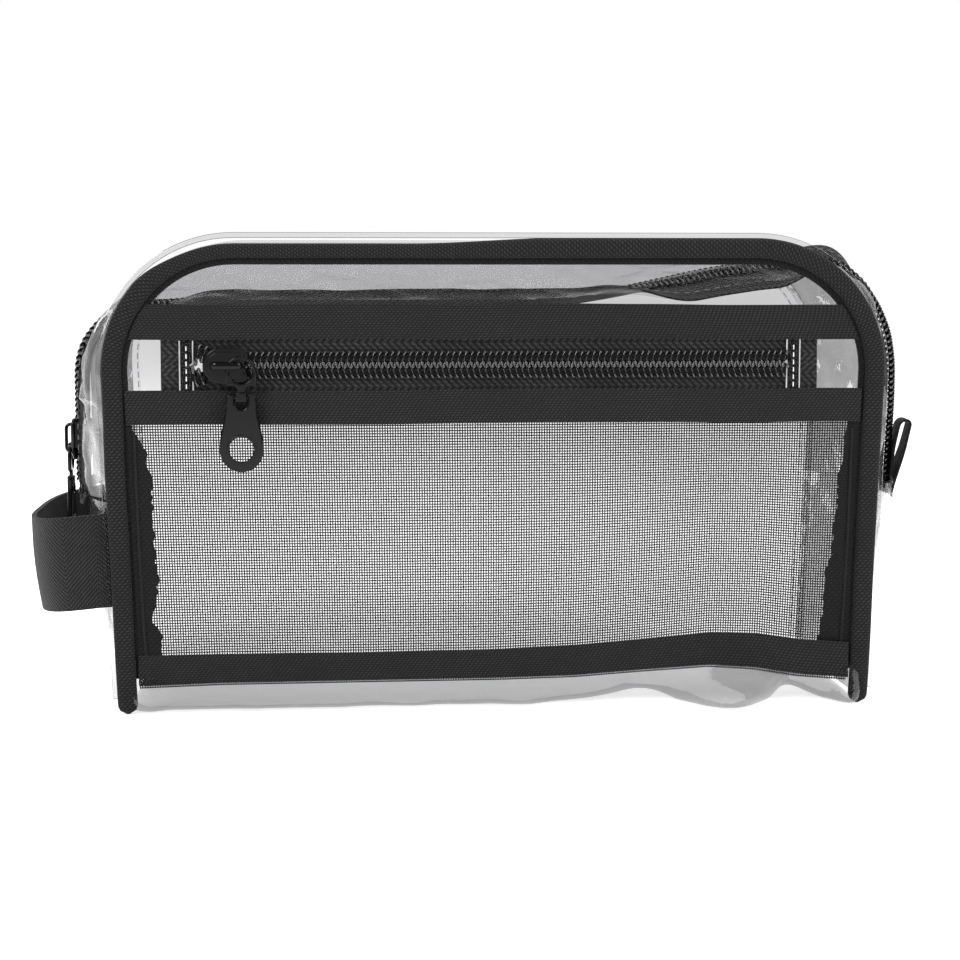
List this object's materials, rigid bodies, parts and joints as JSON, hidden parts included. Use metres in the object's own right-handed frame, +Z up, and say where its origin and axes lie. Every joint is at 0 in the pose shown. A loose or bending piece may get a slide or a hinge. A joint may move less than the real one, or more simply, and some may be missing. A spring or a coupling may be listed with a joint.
{
  "type": "makeup bag",
  "caption": "Clear vinyl makeup bag with black binding, a zipped mesh front pocket, a zip over the top, a webbing side handle and a ribbon grab loop.",
  "frame": {"origin": "on the floor, under the middle of the bag's bottom", "axes": "+X along the bag's width, to the side with the grab loop; the front pocket faces -Y; +Z up"},
  "size_m": [0.2973, 0.1044, 0.152],
  "materials": {
    "clear_vinyl": "clear glossy soft vinyl",
    "binding": "black woven binding tape",
    "band": "black twill tape",
    "zip_tape": "black herringbone zip tape",
    "coil": "black nylon coil",
    "mesh": "fine black open mesh",
    "webbing": "black herringbone webbing",
    "ribbon": "black twill ribbon",
    "hardware": "smooth satin black enamel"
  },
  "bodies": {
    "shell": {"vinyl_wrap_sheet": "clear_vinyl", "gusset_strip_back": "clear_vinyl", "lower_gusset_left": "clear_vinyl", "lower_gusset_right": "clear_vinyl", "main_zip_tape_back": "zip_tape", "main_zip_coil_back": "coil", "main_zip_end_tab_left": "clear_vinyl", "main_zip_end_tab_right": "clear_vinyl", "back_seam_welt": "clear_vinyl", "front_binding_foot_left": "binding", "front_binding_foot_right": "binding", "pocket_mesh_lower": "mesh", "pocket_hem_band": "band", "pocket_side_hem_lower_left": "mesh", "pocket_side_hem_lower_right": "mesh", "handle_end_front": "webbing", "handle_end_back": "webbing"},
    "front": {"front_panel_upper": "clear_vinyl", "gusset_strip_front": "clear_vinyl", "main_zip_tape_front": "zip_tape", "main_zip_coil_front": "coil", "front_binding": "binding", "pocket_band_lower": "band", "pocket_band_upper": "band", "pocket_zip_tape_lower": "zip_tape", "pocket_zip_tape_upper": "zip_tape", "pocket_zip_coil_lower": "coil", "pocket_zip_coil_upper": "coil", "pocket_zip_end_tab_left": "clear_vinyl", "pocket_zip_end_tab_right": "clear_vinyl", "pocket_mesh_upper": "mesh", "pocket_side_hem_upper_left": "mesh", "pocket_side_hem_upper_right": "mesh"},
    "pocket_slider": {"pocket_slider": "hardware"},
    "pocket_link": {"pocket_link": "hardware"},
    "pocket_pull_tab": {"pocket_pull_tab": "hardware"},
    "main_slider": {"main_slider": "hardware"},
    "main_link": {"main_link": "hardware"},
    "main_pull_tab": {"main_pull_tab": "hardware"},
    "side_handle": {"side_handle": "webbing"},
    "grab_loop": {"grab_loop": "ribbon"}
  },
  "joints": [
    {"name": "mouth_fold", "type": "hinge", "parent": "shell", "child": "front", "pos_m": [0, -0.0503, 0.068], "axis": [1, 0, 0], "range_deg": [0, 60]},
    {"name": "pocket_zip_slide", "type": "slide", "parent": "front", "child": "pocket_slider", "axis": [1, 0, 0], "range_m": [0, 0.17]},
    {"name": "pocket_link_swivel", "type": "hinge", "parent": "pocket_slider", "child": "pocket_link", "pos_m": [-0.0819, -0.05235, 0.11195], "axis": [0, -1, 0], "range_deg": [-32, 80]},
    {"name": "pocket_pull_swing", "type": "hinge", "parent": "pocket_link", "child": "pocket_pull_tab", "pos_m": [-0.0819, -0.05235, 0.10195], "axis": [-1, 0, 0], "range_deg": [0, 110]},
    {"name": "main_zip_slide", "type": "slide", "parent": "shell", "child": "main_slider", "axis": [0, 0, 1], "range_m": [-0.0062, 0.008]},
    {"name": "main_link_swivel", "type": "hinge", "parent": "main_slider", "child": "main_link", "pos_m": [-0.14165, 0, 0.0809], "axis": [-1, 0, 0], "range_deg": [-35, 35]},
    {"name": "main_pull_swing", "type": "hinge", "parent": "main_link", "child": "main_pull_tab", "pos_m": [-0.14165, 0, 0.0709], "axis": [0, 1, 0], "range_deg": [0, 8]},
    {"name": "handle_tilt", "type": "hinge", "parent": "shell", "child": "side_handle", "pos_m": [-0.12903, 0, 0.049], "axis": [0, 1, 0], "range_deg": [-15, 5]},
    {"name": "grab_loop_bend", "type": "hinge", "parent": "shell", "child": "grab_loop", "pos_m": [0.1387, 0, 0.065], "axis": [0, 1, 0], "range_deg": [0, 80]}
  ]
}
